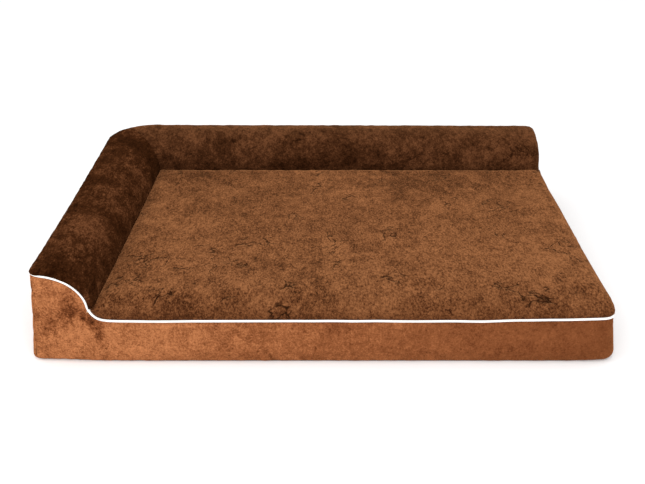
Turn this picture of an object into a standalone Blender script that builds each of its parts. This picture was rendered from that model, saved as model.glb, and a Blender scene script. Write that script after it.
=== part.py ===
"""An L-shaped pet bed: foam mattress, a bolster along its left side and its back, a plush cover in
sewn panels with white piping, and a zip across the back.

Metres, +Z up. The bed faces -Y and rests on Z = 0, with the origin at the middle of its footprint.
A section outline is a list of (across, up) points, where across is measured inwards from the wall.
"""

import math

import bmesh
import bpy
from mathutils import Matrix, Vector

# Overall sizes, over the piping.
LENGTH = 0.914
DEPTH = 0.711

# Heights above the floor.
SEAM_HEIGHT = 0.0715
CROWN_HEIGHT = 0.098
BOLSTER_TOP = 0.157

# Bolster section, and the rolled edge of the mattress.
BOLSTER_WIDTH = 0.091
BOLSTER_ROUNDNESS = 1.85
BOLSTER_FILLET = 0.0195
ROLL_WIDTH = 0.045

# Plan corner radii.
FRONT_LEFT_RADIUS = 0.010
FRONT_RIGHT_RADIUS = 0.026
BACK_LEFT_RADIUS = 0.065
BACK_RIGHT_RADIUS = 0.020

# Layers, from the outside in. GAP parts any two pieces that touch.
GAP = 0.0003
COVER = 0.003
LINER = 0.0008
SEAM_DROP = 0.0042
PIPING_DIAMETER = 0.0042
BASE_FOAM_TOP = 0.069
LINER_SLIT_HEIGHT = 0.050
LINER_SLIT_WIDTH = 0.002
LINER_SLIT_MARGIN = 0.100

# Zip, in the back wall. The cover opens just wide enough for the slider.
ZIP_HEIGHT = 0.030
ZIP_MARGIN = 0.045
TAPE_WIDTH = 0.012
TAPE = 0.0006
TEETH_WIDTH = 0.0018
TEETH_DEPTH = 0.0022
CHAIN_GAP = 0.0012
STOP_LENGTH = 0.004
SLIDER_LENGTH = 0.013
SLIDER_WIDTH = 0.0096
SLIDER_CLEARANCE = 0.0007
PLATE = 0.001
POST_LENGTH = 0.002
POST_WIDTH = 0.0006
BRIDGE_LENGTH = 0.0072
BRIDGE_WIDTH = 0.002
BRIDGE_BAR = 0.001
PULL_LENGTH = 0.026
PULL_WIDTH = 0.008
PULL_THICKNESS = 0.0012
PULL_ARM = 0.0014
PULL_CLEARANCE = 0.0004

# How far round its end corners the piping runs before it stops at the seam, in degrees.
FRONT_END_TURN = 35
BACK_END_TURN = 35

LINER_INSET = COVER + GAP
LINER_INNER = LINER_INSET + LINER
FOAM_INSET = LINER_INNER + GAP
PIPING_PROUD = PIPING_DIAMETER + GAP
LEFT = -LENGTH / 2
RIGHT = LENGTH / 2 - PIPING_PROUD
FRONT = -DEPTH / 2 + PIPING_PROUD
BACK = DEPTH / 2
OVERHANG = 0.05
ZIP_WINDOW = SLIDER_WIDTH + 2 * SLIDER_CLEARANCE
CHAIN_Y = BACK - LINER_INSET - TAPE / 2
PLATE_REACH = TEETH_DEPTH / 2 + GAP + PLATE
ZIP_LEFT = LEFT + BACK_LEFT_RADIUS + ZIP_MARGIN
ZIP_RIGHT = RIGHT - BACK_RIGHT_RADIUS - ZIP_MARGIN
SLIDER_X = ZIP_RIGHT - STOP_LENGTH - GAP - SLIDER_LENGTH / 2
PULL_Y = BACK + PULL_CLEARANCE + PULL_THICKNESS / 2

SHARP_ANGLE = math.radians(35)

PLUSH_DARK = (0.16, 0.064, 0.027)
PLUSH_LIGHT = (0.27, 0.115, 0.048)
PIPING_WHITE = (0.85, 0.84, 0.81)
UNDERSIDE = (0.045, 0.035, 0.03)
FOAM_YELLOW = (0.72, 0.6, 0.36)
FOAM_WHITE = (0.8, 0.78, 0.7)
LINER_GREY = (0.5, 0.52, 0.54)
ZIP_BROWN = (0.07, 0.035, 0.02)
ZIP_METAL = (0.35, 0.3, 0.25)


def make_collection(name):
    collection = bpy.data.collections.new(name)
    bpy.context.scene.collection.children.link(collection)
    return collection


for leftover in list(bpy.data.objects):
    bpy.data.objects.remove(leftover)
PARTS = make_collection("pet_cushion_bed")
CUTTERS = make_collection("cutters")
CUTTERS.hide_render = True


def material(name, colour, roughness, metallic=0.0):
    made = bpy.data.materials.new(name)
    made.use_nodes = True
    shader = made.node_tree.nodes["Principled BSDF"]
    shader.inputs["Base Color"].default_value = (*colour, 1)
    shader.inputs["Roughness"].default_value = roughness
    shader.inputs["Metallic"].default_value = metallic
    made.diffuse_color = (*colour, 1)
    return made


def add_object(name, mesh, collection):
    made = bpy.data.objects.new(name, mesh)
    collection.objects.link(made)
    return made


def add_cutter(name, mesh):
    made = add_object(name, mesh, CUTTERS)
    made.hide_render = True
    made.display_type = "WIRE"
    return made


def add_part(name, mesh, colour, roughness=0.9, metallic=0.0):
    made = add_object(name, mesh, PARTS)
    mesh.materials.clear()
    mesh.materials.append(material(name, colour, roughness, metallic))
    mesh.shade_smooth()
    mesh.set_sharp_from_angle(angle=SHARP_ANGLE)
    return made


def mesh_from(name, bm):
    bmesh.ops.recalc_face_normals(bm, faces=bm.faces)
    mesh = bpy.data.meshes.new(name)
    bm.to_mesh(mesh)
    bm.free()
    return mesh


def carve(target, operation, cutter):
    cut = target.modifiers.new(f"{operation.lower()} {cutter.name}", "BOOLEAN")
    cut.operation = operation
    cut.solver = "MANIFOLD"
    cut.object = cutter
    return target


def baked(source):
    """The object's mesh with its modifiers applied."""
    bpy.context.view_layer.update()
    graph = bpy.context.evaluated_depsgraph_get()
    mesh = bpy.data.meshes.new_from_object(source.evaluated_get(graph))
    mesh.name = source.name
    return mesh


def inset_curve(points, inset):
    """An open outline moved to its right by inset, with its corners mitred."""
    points = [Vector(point) for point in points]
    rights = [Vector((b - a).normalized().yx) for a, b in zip(points, points[1:])]
    for right in rights:
        right.y = -right.y
    moved = []
    for i, point in enumerate(points):
        before = rights[max(i - 1, 0)]
        after = rights[min(i, len(rights) - 1)]
        moved.append(point + (before + after) * inset / (1 + before.dot(after)))
    return moved


def bolster_curve(inset):
    """The bolster's top, from above its wall, over its round side and along the fillet to the seam."""
    steps, fillet_steps = 12, 5
    middle = SEAM_HEIGHT + BOLSTER_FILLET
    points = [(0, BOLSTER_TOP)]
    for i in range(1, steps + 1):
        turn = math.pi / 2 * i / steps
        across = BOLSTER_WIDTH * math.sin(turn) ** (2 / BOLSTER_ROUNDNESS)
        rise = (BOLSTER_TOP - middle) * max(math.cos(turn), 0) ** (2 / BOLSTER_ROUNDNESS)
        points.append((across, middle + rise))
    for i in range(1, fillet_steps + 1):
        turn = math.pi / 2 * i / fillet_steps
        across = BOLSTER_WIDTH + BOLSTER_FILLET * (1 - math.cos(turn))
        points.append((across, middle - BOLSTER_FILLET * math.sin(turn)))
    return inset_curve(points, inset)


def bolster_section(inset):
    curve = bolster_curve(inset)
    first, last = curve[0], curve[-1]
    return [(-OVERHANG, -OVERHANG), (-OVERHANG, first.y), *curve, (last.x, -OVERHANG)]


def mattress_section(inset, span):
    """The mattress's rolled edge and its flat top, as far as span from the wall."""
    steps = 6
    rise = CROWN_HEIGHT - SEAM_HEIGHT
    points = [(0, 0)]
    for i in range(steps + 1):
        turn = math.pi / 2 * i / steps
        points.append((ROLL_WIDTH * (1 - math.cos(turn)), SEAM_HEIGHT + rise * math.sin(turn)))
    points.append((span, CROWN_HEIGHT))
    curve = inset_curve(points, inset)
    return [(curve[0].x, -OVERHANG), *curve[1:], (span, -OVERHANG)]


def prism(name, outline, place, start, end):
    """A closed prism on the outline, where place puts (across, up, along) in space."""
    bm = bmesh.new()
    face = bm.faces.new([bm.verts.new(place(across, up, start)) for across, up in outline])
    grown = bmesh.ops.extrude_face_region(bm, geom=[face])
    far = [item for item in grown["geom"] if isinstance(item, bmesh.types.BMVert)]
    bmesh.ops.translate(bm, verts=far, vec=Vector(place(0, 0, end)) - Vector(place(0, 0, start)))
    return mesh_from(name, bm)


def from_left(across, up, along):
    return LEFT + across, along, up


def from_right(across, up, along):
    return RIGHT - across, along, up


def from_front(across, up, along):
    return along, FRONT + across, up


def from_back(across, up, along):
    return along, BACK - across, up


def along_depth(name, outline, place):
    return add_cutter(name, prism(name, outline, place, FRONT - OVERHANG, BACK + OVERHANG))


def along_length(name, outline, place):
    return add_cutter(name, prism(name, outline, place, LEFT - OVERHANG, RIGHT + OVERHANG))


def plan_body(name, inset):
    """A column on the bed's plan outline, from the bed's underside up past its top."""
    corners = (
        (LEFT, FRONT, FRONT_LEFT_RADIUS, 180),
        (RIGHT, FRONT, FRONT_RIGHT_RADIUS, 270),
        (RIGHT, BACK, BACK_RIGHT_RADIUS, 0),
        (LEFT, BACK, BACK_LEFT_RADIUS, 90),
    )
    steps = 6
    outline = []
    for x, y, radius, start in corners:
        centre = Vector((x - math.copysign(radius, x), y - math.copysign(radius, y)))
        for i in range(steps + 1):
            turn = math.radians(start + 90 * i / steps)
            outline.append(centre + (radius - inset) * Vector((math.cos(turn), math.sin(turn))))
    top = BOLSTER_TOP + OVERHANG
    return add_cutter(name, prism(name, outline, lambda x, y, z: (x, y, z), inset, top))


def bolsters(name, inset):
    side = along_depth(f"{name}_side", bolster_section(inset), from_left)
    back = along_length(f"{name}_back", bolster_section(inset), from_back)
    return carve(side, "UNION", back)


def envelope(name, inset):
    """The whole bed, drawn in by inset on every side. Past the cover it makes room for the zip."""
    depth_span = BACK - FRONT + OVERHANG
    length_span = RIGHT - LEFT + OVERHANG
    front_roll = along_length(f"{name}_front_roll", mattress_section(inset, depth_span), from_front)
    right_roll = along_depth(f"{name}_right_roll", mattress_section(inset, length_span), from_right)
    body = carve(front_roll, "INTERSECT", right_roll)
    body = carve(body, "UNION", bolsters(f"{name}_bolsters", inset))
    body = carve(body, "INTERSECT", plan_body(f"{name}_plan", inset))
    if inset > COVER:
        reach = inset - LINER_INSET
        face = CHAIN_Y - PLATE_REACH - GAP - reach
        half = ZIP_WINDOW / 2 + TAPE_WIDTH + GAP + reach
        outline = [(face, -half), (BACK + OVERHANG, -half), (BACK + OVERHANG, half), (face, half)]
        mesh = prism(
            f"{name}_zip_room",
            outline,
            lambda y, z, x: (x, y, ZIP_HEIGHT + z),
            ZIP_LEFT - ZIP_MARGIN / 2 - reach,
            ZIP_RIGHT + ZIP_MARGIN / 2 + reach,
        )
        body = carve(body, "DIFFERENCE", add_cutter(mesh.name, mesh))
    return add_cutter(name, baked(body))


def seam_body(name, raised):
    """All that lies below the seam at the head of the walls, carried out past the walls."""
    slab = add_cutter(f"{name}_slab", block_mesh(
        f"{name}_slab",
        (LEFT - OVERHANG, FRONT - OVERHANG, -OVERHANG),
        (RIGHT + OVERHANG, BACK + OVERHANG, SEAM_HEIGHT + raised),
    ))
    body = carve(slab, "UNION", bolsters(f"{name}_bolsters", SEAM_DROP - raised))
    return add_cutter(name, baked(body))


def block_mesh(name, low, high):
    bm = bmesh.new()
    bmesh.ops.create_cube(bm, size=1)
    low, high = Vector(low), Vector(high)
    bmesh.ops.transform(
        bm,
        verts=bm.verts,
        matrix=Matrix.Translation((low + high) / 2) @ Matrix.Diagonal(high - low).to_4x4(),
    )
    return mesh_from(name, bm)


def keep(seam, side):
    """The plane that keeps one side of a seam, -1 behind its normal or 1 before it, half a gap back."""
    point, normal = Vector(seam[0]), Vector(seam[1]).normalized()
    return point + side * GAP / 2 * normal, -side * normal


def region(name, *planes):
    """A block that takes in the whole bed, cut away in front of each plane."""
    bm = bmesh.new()
    bmesh.ops.create_cube(bm, size=4 * max(LENGTH, DEPTH))
    for point, normal in planes:
        everything = bm.verts[:] + bm.edges[:] + bm.faces[:]
        cut = bmesh.ops.bisect_plane(
            bm, geom=everything, plane_co=point, plane_no=normal, clear_outer=True
        )
        edges = [item for item in cut["geom_cut"] if isinstance(item, bmesh.types.BMEdge)]
        bmesh.ops.contextual_create(bm, geom=edges)
    return add_cutter(name, mesh_from(name, bm))


def cut_from(blank, name, colour, *planes):
    """A piece of the blank: what lies in the region behind the planes."""
    part = add_part(name, blank.data.copy(), colour)
    return carve(part, "INTERSECT", region(f"{name}_region", *planes))


# Seams, each as a point on its plane and the plane's normal.
FLOOR_SEAM = ((0, 0, COVER), (0, 0, 1))
FRONT_LEFT_SEAM = ((LEFT, FRONT, 0), (1, -1, 0))
FRONT_RIGHT_SEAM = ((RIGHT, FRONT, 0), (1, 1, 0))
BACK_RIGHT_SEAM = ((RIGHT, BACK, 0), (1, -1, 0))
MITRE_SEAM = ((LEFT, BACK, 0), (1, 1, 0))
ZIP_SEAM = ((0, 0, ZIP_HEIGHT), (0, 0, 1))
SIDE_CREASE = ((LEFT + BOLSTER_WIDTH, 0, CROWN_HEIGHT), (1, 0, -1))
BACK_CREASE = ((0, BACK - BOLSTER_WIDTH, CROWN_HEIGHT), (0, -1, -1))
MIDDLE_X = ((0, 0, 0), (1, 0, 0))
MIDDLE_Y = ((0, 0, 0), (0, 1, 0))


def make_cover():
    """The plush cover's panels, cut from a shell as thick as the cloth and its backing."""
    outside = envelope("outside", 0)
    inside = envelope("inside", COVER)
    shell = add_cutter("shell", baked(carve(outside, "DIFFERENCE", inside)))
    walls = add_cutter("walls_blank", shell.data.copy())
    walls = add_cutter("walls", baked(carve(walls, "INTERSECT", seam_body("under_seam", 0))))
    tops = add_cutter("tops_blank", shell.data.copy())
    tops = add_cutter("tops", baked(carve(tops, "DIFFERENCE", seam_body("over_seam", GAP))))

    bottom_plane = (Vector((0, 0, COVER - GAP / 2)), Vector((0, 0, 1)))
    cut_from(shell, "bottom_panel", UNDERSIDE, bottom_plane)
    above_floor = (Vector((0, 0, COVER + GAP / 2)), Vector((0, 0, -1)))

    cut_from(
        walls, "front_panel", PLUSH_LIGHT, above_floor,
        keep(FRONT_LEFT_SEAM, 1), keep(FRONT_RIGHT_SEAM, -1), keep(MIDDLE_Y, -1),
    )
    cut_from(
        walls, "right_panel", PLUSH_LIGHT, above_floor,
        keep(FRONT_RIGHT_SEAM, 1), keep(BACK_RIGHT_SEAM, 1), keep(MIDDLE_X, 1),
    )
    cut_from(
        walls, "left_panel", PLUSH_LIGHT, above_floor,
        keep(FRONT_LEFT_SEAM, -1), keep(MITRE_SEAM, -1), keep(MIDDLE_X, -1),
    )
    window = add_cutter("zip_window", block_mesh(
        "zip_window",
        (ZIP_LEFT, BACK - OVERHANG / 2, ZIP_HEIGHT - ZIP_WINDOW / 2),
        (ZIP_RIGHT, BACK + OVERHANG / 2, ZIP_HEIGHT + ZIP_WINDOW / 2),
    ))
    for name, side in (("back_panel_lower", -1), ("back_panel_upper", 1)):
        panel = cut_from(
            walls, name, PLUSH_LIGHT, above_floor,
            keep(MITRE_SEAM, 1), keep(BACK_RIGHT_SEAM, -1), keep(MIDDLE_Y, 1), keep(ZIP_SEAM, side),
        )
        carve(panel, "DIFFERENCE", window)

    cut_from(tops, "sleep_panel", PLUSH_DARK, keep(SIDE_CREASE, 1), keep(BACK_CREASE, 1))
    cut_from(tops, "side_bolster_panel", PLUSH_DARK, keep(SIDE_CREASE, -1), keep(MITRE_SEAM, -1))
    cut_from(tops, "back_bolster_panel", PLUSH_DARK, keep(BACK_CREASE, -1), keep(MITRE_SEAM, 1))


def make_liner():
    """The thin bag round the foam. It is filled through a slit in its back, behind the cover's wall."""
    bag = envelope("liner_outside", LINER_INSET)
    liner = add_part("waterproof_liner", bag.data.copy(), LINER_GREY, 0.45)
    carve(liner, "DIFFERENCE", envelope("liner_inside", LINER_INNER))
    slit = add_cutter("liner_slit", block_mesh(
        "liner_slit",
        (LEFT + LINER_SLIT_MARGIN, 0, LINER_SLIT_HEIGHT),
        (RIGHT - LINER_SLIT_MARGIN, BACK + OVERHANG, LINER_SLIT_HEIGHT + LINER_SLIT_WIDTH),
    ))
    carve(liner, "DIFFERENCE", slit)


def make_foam():
    """A base slab over the whole plan, a softer layer on it to lie on, and two mitred bolsters."""
    foam = envelope("foam", FOAM_INSET)
    inner = BOLSTER_WIDTH - FOAM_INSET
    base_seam = ((0, 0, BASE_FOAM_TOP), (0, 0, 1))
    side_joint = ((LEFT + inner, 0, 0), (1, 0, 0))
    back_joint = ((0, BACK - inner, 0), (0, -1, 0))
    on_base = keep(base_seam, 1)
    cut_from(foam, "base_foam", FOAM_YELLOW, keep(base_seam, -1))
    cut_from(foam, "memory_foam", FOAM_WHITE, on_base, keep(side_joint, 1), keep(back_joint, 1))
    cut_from(foam, "side_bolster_foam", FOAM_YELLOW, on_base, keep(side_joint, -1), keep(MITRE_SEAM, -1))
    cut_from(foam, "back_bolster_foam", FOAM_YELLOW, on_base, keep(back_joint, -1), keep(MITRE_SEAM, 1))


def make_piping():
    """One run of piping: down the side bolster's end, along the front, round the corner, along the
    right side and up the back bolster's end. It lies against the seam and ends at the corner seams.
    """
    off = PIPING_DIAMETER / 2 + GAP
    steps = 6
    climb = bolster_curve(SEAM_DROP)
    climb_base = climb[-1].y
    climb = [point for point in climb if point.y > climb_base + GAP]
    route = []

    def round_corner(x, y, radius, start, end, height):
        centre = (x - math.copysign(radius, x), y - math.copysign(radius, y))
        for i in range(steps + 1):
            turn = math.radians(start + (end - start) * i / steps)
            reach = radius + off
            route.append((centre[0] + reach * math.cos(turn), centre[1] + reach * math.sin(turn), height))

    end_height = climb[0].y
    round_corner(LEFT, FRONT, FRONT_LEFT_RADIUS, 270 - FRONT_END_TURN, 270, end_height)
    down = [point for point in climb if point.x > FRONT_LEFT_RADIUS + GAP]
    route.extend((LEFT + point.x, FRONT - off, max(point.y, SEAM_HEIGHT)) for point in down)
    run_out = BOLSTER_WIDTH + BOLSTER_FILLET
    route.append((LEFT + run_out, FRONT - off, SEAM_HEIGHT))
    round_corner(RIGHT, FRONT, FRONT_RIGHT_RADIUS, 270, 360, SEAM_HEIGHT)
    route.append((RIGHT + off, BACK - run_out, SEAM_HEIGHT))
    up = [point for point in reversed(climb) if point.x > BACK_RIGHT_RADIUS + GAP]
    route.extend((RIGHT + off, BACK - point.x, max(point.y, SEAM_HEIGHT)) for point in up)
    round_corner(RIGHT, BACK, BACK_RIGHT_RADIUS, 0, BACK_END_TURN, end_height)

    curve = bpy.data.curves.new("piping", "CURVE")
    curve.dimensions = "3D"
    curve.bevel_depth = PIPING_DIAMETER / 2
    curve.bevel_resolution = 2
    curve.use_fill_caps = True
    line = curve.splines.new("POLY")
    line.points.add(len(route) - 1)
    for point, place in zip(line.points, route):
        point.co = (*place, 1)
    piping = bpy.data.objects.new("piping", curve)
    PARTS.objects.link(piping)
    curve.materials.append(material("piping", PIPING_WHITE, 0.7))


def zip_block(name, across, outward, along, colour=ZIP_BROWN, metallic=0.0):
    """A box on the zip: across is up from the chain, outward from its plane, along in X."""
    mesh = block_mesh(
        name,
        (along[0], CHAIN_Y + outward[0], ZIP_HEIGHT + across[0]),
        (along[1], CHAIN_Y + outward[1], ZIP_HEIGHT + across[1]),
    )
    return add_part(name, mesh, colour, 0.5, metallic)


def joined_blocks(name, blocks, colour):
    """One body of overlapping boxes, each given by its lowest and highest corners."""
    part = add_part(name, block_mesh(name, *blocks[0]), colour, 0.35, 1.0)
    for i, (low, high) in enumerate(blocks[1:], 2):
        carve(part, "UNION", add_cutter(f"{name}_block_{i}", block_mesh(f"{name}_block_{i}", low, high)))
    return part


def make_zip():
    """Two tapes behind the window's edges, a row of teeth on each, stops, slider and pull."""
    teeth_near = CHAIN_GAP / 2
    teeth_far = teeth_near + TEETH_WIDTH
    teeth_half = TEETH_DEPTH / 2
    tape_far = ZIP_WINDOW / 2 + TAPE_WIDTH - GAP
    for name, side in (("upper", 1), ("lower", -1)):
        tape = sorted((side * (teeth_far + GAP), side * tape_far))
        teeth = sorted((side * teeth_near, side * teeth_far))
        zip_block(f"zip_tape_{name}", tape, (-TAPE / 2, TAPE / 2), (ZIP_LEFT, ZIP_RIGHT))
        run = (ZIP_LEFT + STOP_LENGTH + GAP, ZIP_RIGHT - STOP_LENGTH - GAP)
        zip_block(f"zip_teeth_{name}", teeth, (-teeth_half, teeth_half), run)
    ends = (("open", (ZIP_LEFT, ZIP_LEFT + STOP_LENGTH)), ("closed", (ZIP_RIGHT - STOP_LENGTH, ZIP_RIGHT)))
    for name, run in ends:
        across = (-teeth_far, teeth_far)
        zip_block(f"zip_stop_{name}", across, (-teeth_half, teeth_half), run, ZIP_METAL, 1.0)

    def box(x0, x1, y0, y1, half_z):
        return (SLIDER_X + x0, y0, ZIP_HEIGHT - half_z), (SLIDER_X + x1, y1, ZIP_HEIGHT + half_z)

    half = SLIDER_LENGTH / 2
    inner_face = CHAIN_Y - PLATE_REACH
    outer_face = CHAIN_Y + PLATE_REACH
    bar_inner = PULL_Y + PULL_THICKNESS / 2 + GAP
    bar_outer = bar_inner + BRIDGE_BAR
    bridge = BRIDGE_LENGTH / 2
    slider = joined_blocks("zip_slider", [
        box(-half, half, inner_face, inner_face + PLATE, SLIDER_WIDTH / 2),
        box(-half, half, outer_face - PLATE, outer_face, SLIDER_WIDTH / 2),
        box(-POST_LENGTH / 2, POST_LENGTH / 2, inner_face + PLATE / 2, outer_face - PLATE / 2, POST_WIDTH / 2),
        box(-bridge, -bridge + BRIDGE_BAR, outer_face - PLATE / 2, bar_outer, BRIDGE_WIDTH / 2),
        box(bridge - BRIDGE_BAR, bridge, outer_face - PLATE / 2, bar_outer, BRIDGE_WIDTH / 2),
        box(-bridge, bridge, bar_inner, bar_outer, BRIDGE_WIDTH / 2),
    ], ZIP_METAL)

    thick = PULL_THICKNESS / 2
    arm_inner = BRIDGE_WIDTH / 2 + GAP
    eye_reach = math.hypot(bridge, bar_outer - PULL_Y) + GAP
    pull_low, pull_high = PULL_Y - thick, PULL_Y + thick

    def arm(side):
        z = sorted((side * arm_inner, side * (arm_inner + PULL_ARM)))
        return (
            (SLIDER_X - thick, pull_low, ZIP_HEIGHT + z[0]),
            (SLIDER_X + eye_reach + PULL_ARM, pull_high, ZIP_HEIGHT + z[1]),
        )

    pull = joined_blocks("zip_pull", [
        box(-thick, thick, pull_low, pull_high, arm_inner + PULL_ARM / 2),
        arm(1),
        arm(-1),
        box(eye_reach, PULL_LENGTH, pull_low, pull_high, PULL_WIDTH / 2),
    ], ZIP_METAL)
    move_origin(slider, Vector((SLIDER_X, CHAIN_Y, ZIP_HEIGHT)))
    move_origin(pull, Vector((SLIDER_X, PULL_Y, ZIP_HEIGHT)))


def move_origin(part, point):
    """Puts the object's origin on its joint's axis, and its shape where it was."""
    part.data.transform(Matrix.Translation(-point))
    part.location = point


make_foam()
make_liner()
make_cover()
make_piping()
make_zip()
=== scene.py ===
"""An L-shaped pet bed in brown crushed plush: a padded mattress, a bolster along its left side and its
back, white piping along the front and right seams, a dotted non-slip underside, and a zip across the back.

Metres, +Z up. The bed faces -Y and rests on Z = 0.
"""

import math

import bmesh
import bpy
from mathutils import Matrix, Vector, noise
from mathutils.kdtree import KDTree


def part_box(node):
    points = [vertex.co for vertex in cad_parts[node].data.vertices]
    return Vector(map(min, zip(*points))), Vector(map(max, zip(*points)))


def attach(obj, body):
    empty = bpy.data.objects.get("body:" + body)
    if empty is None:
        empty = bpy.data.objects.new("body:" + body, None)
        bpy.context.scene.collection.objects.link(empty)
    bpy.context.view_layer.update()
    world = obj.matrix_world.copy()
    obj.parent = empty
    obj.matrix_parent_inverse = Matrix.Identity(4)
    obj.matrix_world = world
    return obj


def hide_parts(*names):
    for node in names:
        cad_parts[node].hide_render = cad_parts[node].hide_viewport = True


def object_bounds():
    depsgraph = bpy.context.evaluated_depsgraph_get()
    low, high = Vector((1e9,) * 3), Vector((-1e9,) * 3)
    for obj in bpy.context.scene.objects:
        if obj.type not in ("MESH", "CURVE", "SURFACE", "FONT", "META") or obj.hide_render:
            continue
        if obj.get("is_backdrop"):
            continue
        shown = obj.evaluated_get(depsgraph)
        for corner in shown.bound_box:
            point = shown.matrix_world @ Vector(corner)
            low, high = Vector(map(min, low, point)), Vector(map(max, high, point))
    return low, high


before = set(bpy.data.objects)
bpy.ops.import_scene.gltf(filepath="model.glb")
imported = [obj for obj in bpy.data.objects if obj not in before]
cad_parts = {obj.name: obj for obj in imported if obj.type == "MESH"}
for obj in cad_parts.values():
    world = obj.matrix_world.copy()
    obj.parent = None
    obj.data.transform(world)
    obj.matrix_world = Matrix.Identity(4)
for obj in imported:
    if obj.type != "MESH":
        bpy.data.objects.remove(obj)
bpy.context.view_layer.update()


# Camera. It stands in front of the middle of the bed, a little above it, and looks down on the mattress.
camera_data = bpy.data.cameras.new("camera")
camera_data.sensor_width = 36
camera_data.lens = 54.33
camera_data.shift_y = -0.065
camera = bpy.data.objects.new("camera", camera_data)
camera.location = (-0.0024, -1.6878, 0.8402)
camera.rotation_euler = (math.radians(90 - 22.82), 0, 0)
bpy.context.scene.collection.objects.link(camera)
bpy.context.scene.camera = camera


# Studio. A plain pale floor under an even white sky, with one wide soft lamp high in front of the bed and
# a weaker one from the left, so the tops are lit softly and the shadow on the floor stays faint.
def soft_lamp(name, place, target, size, power):
    lamp_data = bpy.data.lights.new(name, "AREA")
    lamp_data.shape = "RECTANGLE"
    lamp_data.size, lamp_data.size_y = size
    lamp_data.energy = power
    lamp = bpy.data.objects.new(name, lamp_data)
    lamp.location = place
    lamp.rotation_euler = (Vector(target) - Vector(place)).to_track_quat("-Z", "Y").to_euler()
    bpy.context.scene.collection.objects.link(lamp)


soft_lamp("front_lamp", (0.1, -2.6, 1.9), (0, 0, 0.05), (2.6, 1.2), 40)
soft_lamp("left_lamp", (-2.4, -0.6, 1.8), (0, 0.1, 0.05), (1.6, 1.6), 14)

sky = bpy.data.worlds.new("studio_sky")
sky.use_nodes = True
sky.node_tree.nodes["Background"].inputs["Color"].default_value = (1, 1, 1, 1)
sky.node_tree.nodes["Background"].inputs["Strength"].default_value = 1.0
bpy.context.scene.world = sky
bpy.context.scene.view_settings.view_transform = "Standard"

floor_bm = bmesh.new()
bmesh.ops.create_grid(floor_bm, x_segments=1, y_segments=1, size=12)
floor_mesh = bpy.data.meshes.new("floor")
floor_bm.to_mesh(floor_mesh)
floor_bm.free()
floor = bpy.data.objects.new("floor", floor_mesh)
bpy.context.scene.collection.objects.link(floor)
floor_material = bpy.data.materials.new("pale_floor")
floor_material.use_nodes = True
floor_shader = floor_material.node_tree.nodes["Principled BSDF"]
floor_shader.inputs["Base Color"].default_value = (0.97, 0.97, 0.97, 1)
floor_shader.inputs["Roughness"].default_value = 0.9
floor_shader.inputs["Specular IOR Level"].default_value = 0.1
floor_mesh.materials.append(floor_material)
floor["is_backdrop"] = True


# Plush tops. The sleep panel lies over the mattress and rolls down its front and right edges to the seam;
# the two bolster panels are mitred where they meet at the back-left corner, and all three sink into a
# crease where the mattress meets the bolsters. Dark brown crushed plush, sewn along every edge.
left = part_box("left_panel")[0].x + 0.0012
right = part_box("right_panel")[1].x + 0.0060
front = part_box("front_panel")[0].y
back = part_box("back_panel_upper")[1].y
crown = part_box("sleep_panel")[1].z
bolster_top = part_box("back_bolster_panel")[1].z
cord_width = 0.0042
seam_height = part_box("piping")[0].z + cord_width / 2
crease_height = crown - 0.005
bolster_width = 0.106
corner_roll = 0.100
edge_roll = 0.045
right_roll = 0.014
end_roll = 0.012
crease_roll = 0.010
crease_reach = 0.0075
flare = 0.0085
# Plan corners: the middle of each rounding, as far from both walls as its radius, and its way out.
front_left = (Vector((left + 0.010, front + 0.010)), (-1, -1))
front_right = (Vector((right - 0.016, front + 0.016)), (1, -1))
back_right = (Vector((right - 0.020, back - 0.020)), (1, 1))
back_left = (Vector((left + corner_roll, back - corner_roll)), (-1, 1))
side_length = back - bolster_width - front
back_length = right - bolster_width - left


def rounded_corner(x, y):
    """A point of the square plan, moved so that three corners are round and the back right one tucks in."""
    fade = 0.04
    tucked = 0.0025 * min(max((y - back + bolster_width + fade) / fade, 0), 1)
    x -= tucked * max(1 - (right - x) / 0.05, 0)
    for centre, (east, north) in (front_left, front_right, back_right):
        out = Vector(((x - centre.x) * east, (y - centre.y) * north))
        if out.x > 0 and out.y > 0:
            out *= max(out) / out.length
            return centre.x + out.x * east, centre.y + out.y * north
    return x, y


def eased(distance, width):
    """How far a rolled edge has risen, 0 to 1, at a distance in from it."""
    return math.sqrt(1 - (1 - min(distance / width, 1)) ** 2)


def from_end(share, length):
    """The distance in from a rolled edge at a share of the cloth's run, in even steps along the cloth."""
    roll = 1.28 * edge_roll
    run = share * (length - edge_roll + roll)
    if run < roll:
        return edge_roll * (1 - math.cos(math.pi / 2 * run / roll))
    return edge_roll + run - roll


def side_width(along):
    return 0.0855 + 0.006 * eased(along, end_roll) + 0.0145 * min(along / side_length, 1) ** 0.85


def back_width(along):
    return 0.099 + 0.010 * eased(along, end_roll) - 0.003 * min(along / back_length * 4, 1)


def bolster_section(across, along, width, fullness, rise, drawn_in):
    """Distance in from the plan and height, at a share across the bolster from its wall to the crease."""
    turn = math.pi / 2 * across
    depth = drawn_in + (width - drawn_in) * math.sin(turn) ** (2 / fullness)
    top = bolster_top - 0.0045 * (1 - eased(along, end_roll)) + rise
    height = crease_height + (top - crease_height) * max(math.cos(turn), 0) ** (2 / fullness)
    shoulder = 0.0055 * eased(along, end_roll) * (1 - eased(depth, 0.018))
    return depth, height - shoulder


def bolster_run(across, share, length):
    """How far along from the bolster's end a share of its run is, and how far round the corner."""
    fullness = 2.25
    depth = bolster_width * math.sin(math.pi / 2 * across) ** (2 / fullness)
    straight = length + bolster_width - corner_roll
    bend = max(corner_roll - depth, 0)
    run = from_end(share, straight + bend * math.pi / 4 if bend else length + bolster_width - depth)
    turn = (run - straight) / bend if bend and run > straight else 0
    return run, turn


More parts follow.
